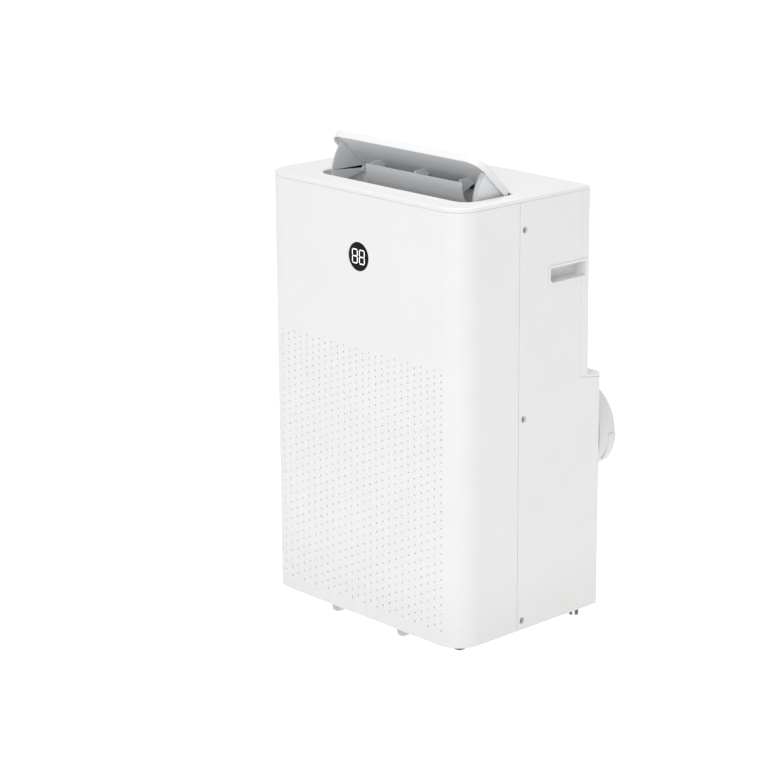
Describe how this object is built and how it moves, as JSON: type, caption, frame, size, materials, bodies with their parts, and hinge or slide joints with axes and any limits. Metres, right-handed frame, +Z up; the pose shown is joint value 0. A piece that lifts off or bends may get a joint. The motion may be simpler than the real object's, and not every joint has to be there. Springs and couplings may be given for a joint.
{
  "type": "portable air conditioner",
  "caption": "Upright portable air conditioner cabinet on swivel casters, with a motor-driven air flap on top, a round display and a rear exhaust collar.",
  "frame": {"origin": "on the floor, under the middle of the bounding box in plan", "axes": "+Z up; -Y is the front with the display; +X is the right-hand side seen from the front"},
  "size_m": [0.4726, 0.378, 0.8312],
  "materials": {
    "white_plastic": "fine satin moulded ABS",
    "inner_plastic": "satin moulded plastic",
    "grey_plastic": "satin moulded plastic",
    "black_gloss": "polished tinted acrylic",
    "black_nylon": "moulded nylon",
    "circuit_board": "solder mask",
    "zinc_steel": "zinc plated",
    "black_steel": "black enamel on steel",
    "aluminium_fin": "bare fin stock",
    "copper_tube": "bare copper tube",
    "rubber": "moulded rubber"
  },
  "bodies": {
    "cabinet": {"base_pan": "inner_plastic", "body_shell": "white_plastic", "compressor": "black_steel", "condenser_coil": "aluminium_fin", "condenser_grille": "white_plastic", "condenser_motor": "zinc_steel", "condenser_scroll": "inner_plastic", "control_box": "grey_plastic", "cord_gland": "rubber", "discharge_pipe": "copper_tube", "display_board": "circuit_board", "display_lens": "black_gloss", "drain_plug_lower": "white_plastic", "drain_plug_upper": "white_plastic", "evaporator_coil": "aluminium_fin", "evaporator_motor": "zinc_steel", "evaporator_scroll": "inner_plastic", "exhaust_connector": "inner_plastic", "flap_motor": "zinc_steel", "front_shell": "white_plastic", "handle_left": "white_plastic", "handle_right": "white_plastic", "outlet_duct": "inner_plastic", "partition_deck": "inner_plastic", "rear_cover": "white_plastic", "side_screw_left_1": "zinc_steel", "side_screw_left_2": "zinc_steel", "side_screw_left_3": "zinc_steel", "side_screw_right_1": "zinc_steel", "side_screw_right_2": "zinc_steel", "side_screw_right_3": "zinc_steel", "skid_foot_left": "grey_plastic", "skid_foot_right": "grey_plastic", "suction_pipe": "copper_tube", "top_cover": "white_plastic"},
    "flap": {"flap_plate": "white_plastic", "flap_sector": "white_plastic", "flap_wing": "white_plastic", "flap_blade": "white_plastic", "flap_pin_right": "zinc_steel", "flap_pin_left": "zinc_steel"},
    "flap_pinion_body": {"flap_pinion": "inner_plastic"},
    "vane_link_body": {"vane_link": "inner_plastic"},
    "evaporator_rotor": {"evaporator_fan": "black_nylon"},
    "condenser_rotor": {"condenser_fan": "black_nylon"},
    "intake_door": {"intake_grille": "white_plastic", "air_filter": "grey_plastic"},
    "vane_1": {"swing_vane_1": "inner_plastic"},
    "vane_2": {"swing_vane_2": "inner_plastic"},
    "vane_3": {"swing_vane_3": "inner_plastic"},
    "vane_4": {"swing_vane_4": "inner_plastic"},
    "vane_5": {"swing_vane_5": "inner_plastic"},
    "caster_front_left": {"caster_yoke_front_left": "black_nylon"},
    "wheel_front_left": {"caster_wheel_front_left": "black_nylon"},
    "caster_front_right": {"caster_yoke_front_right": "black_nylon"},
    "wheel_front_right": {"caster_wheel_front_right": "black_nylon"},
    "caster_rear_left": {"caster_yoke_rear_left": "black_nylon"},
    "wheel_rear_left": {"caster_wheel_rear_left": "black_nylon"},
    "caster_rear_right": {"caster_yoke_rear_right": "black_nylon"},
    "wheel_rear_right": {"caster_wheel_rear_right": "black_nylon"}
  },
  "joints": [
    {"name": "flap_hinge", "type": "hinge", "parent": "cabinet", "child": "flap", "pos_m": [0.023, -0.039, 0.755], "axis": [-1, 0, 0], "range_deg": [-45, 15]},
    {"name": "flap_pinion_spin", "type": "hinge", "parent": "cabinet", "child": "flap_pinion_body", "pos_m": [0.1968, -0.10291, 0.70856], "axis": [-1, 0, 0], "range_deg": [-156, 464]},
    {"name": "vane_1_swing", "type": "hinge", "parent": "cabinet", "child": "vane_1", "pos_m": [-0.097, -0.088, 0.689], "axis": [0, 0, 1], "range_deg": [-30, 30]},
    {"name": "vane_2_swing", "type": "hinge", "parent": "cabinet", "child": "vane_2", "pos_m": [-0.037, -0.088, 0.689], "axis": [0, 0, 1], "range_deg": [-30, 30]},
    {"name": "vane_3_swing", "type": "hinge", "parent": "cabinet", "child": "vane_3", "pos_m": [0.023, -0.088, 0.689], "axis": [0, 0, 1], "range_deg": [-30, 30]},
    {"name": "vane_4_swing", "type": "hinge", "parent": "cabinet", "child": "vane_4", "pos_m": [0.083, -0.088, 0.689], "axis": [0, 0, 1], "range_deg": [-30, 30]},
    {"name": "vane_5_swing", "type": "hinge", "parent": "cabinet", "child": "vane_5", "pos_m": [0.143, -0.088, 0.689], "axis": [0, 0, 1], "range_deg": [-30, 30]},
    {"name": "vane_link_slide", "type": "slide", "parent": "cabinet", "child": "vane_link_body", "axis": [1, 0, 0], "range_m": [-0.0085, 0.0085]},
    {"name": "evaporator_fan_spin", "type": "hinge", "parent": "cabinet", "child": "evaporator_rotor", "pos_m": [0.02, -0.082, 0.561], "axis": [0, 1, 0], "continuous": true},
    {"name": "condenser_fan_spin", "type": "hinge", "parent": "cabinet", "child": "condenser_rotor", "pos_m": [0.154, -0.024, 0.26], "axis": [1, 0, 0], "continuous": true},
    {"name": "intake_door_hinge", "type": "hinge", "parent": "cabinet", "child": "intake_door", "pos_m": [0, 0.1109, 0.482], "axis": [-1, 0, 0], "range_deg": [0, 40]},
    {"name": "caster_front_left_swivel", "type": "hinge", "parent": "cabinet", "child": "caster_front_left", "pos_m": [-0.185, -0.129, 0.04], "axis": [0, 0, 1], "continuous": true},
    {"name": "wheel_front_left_roll", "type": "hinge", "parent": "caster_front_left", "child": "wheel_front_left", "pos_m": [-0.18076, -0.13324, 0.0165], "axis": [0.7071, 0.7071, 0], "continuous": true},
    {"name": "caster_front_right_swivel", "type": "hinge", "parent": "cabinet", "child": "caster_front_right", "pos_m": [0.185, -0.129, 0.04], "axis": [0, 0, 1], "continuous": true},
    {"name": "wheel_front_right_roll", "type": "hinge", "parent": "caster_front_right", "child": "wheel_front_right", "pos_m": [0.18076, -0.13324, 0.0165], "axis": [0.7071, -0.7071, 0], "continuous": true},
    {"name": "caster_rear_left_swivel", "type": "hinge", "parent": "cabinet", "child": "caster_rear_left", "pos_m": [-0.207, 0.116, 0.04], "axis": [0, 0, 1], "continuous": true},
    {"name": "wheel_rear_left_roll", "type": "hinge", "parent": "caster_rear_left", "child": "wheel_rear_left", "pos_m": [-0.20276, 0.12024, 0.0165], "axis": [-0.7071, 0.7071, 0], "continuous": true},
    {"name": "caster_rear_right_swivel", "type": "hinge", "parent": "cabinet", "child": "caster_rear_right", "pos_m": [0.207, 0.116, 0.04], "axis": [0, 0, 1], "continuous": true},
    {"name": "wheel_rear_right_roll", "type": "hinge", "parent": "caster_rear_right", "child": "wheel_rear_right", "pos_m": [0.20276, 0.12024, 0.0165], "axis": [-0.7071, -0.7071, 0], "continuous": true}
  ],
  "couplings": [
    {"joint": "flap_pinion_spin", "follows": "flap_hinge", "ratio": -10.286},
    {"joint": "vane_1_swing", "follows": "vane_link_slide", "rad_per_m": 61.5},
    {"joint": "vane_2_swing", "follows": "vane_link_slide", "rad_per_m": 61.5},
    {"joint": "vane_3_swing", "follows": "vane_link_slide", "rad_per_m": 61.5},
    {"joint": "vane_4_swing", "follows": "vane_link_slide", "rad_per_m": 61.5},
    {"joint": "vane_5_swing", "follows": "vane_link_slide", "rad_per_m": 61.5}
  ]
}
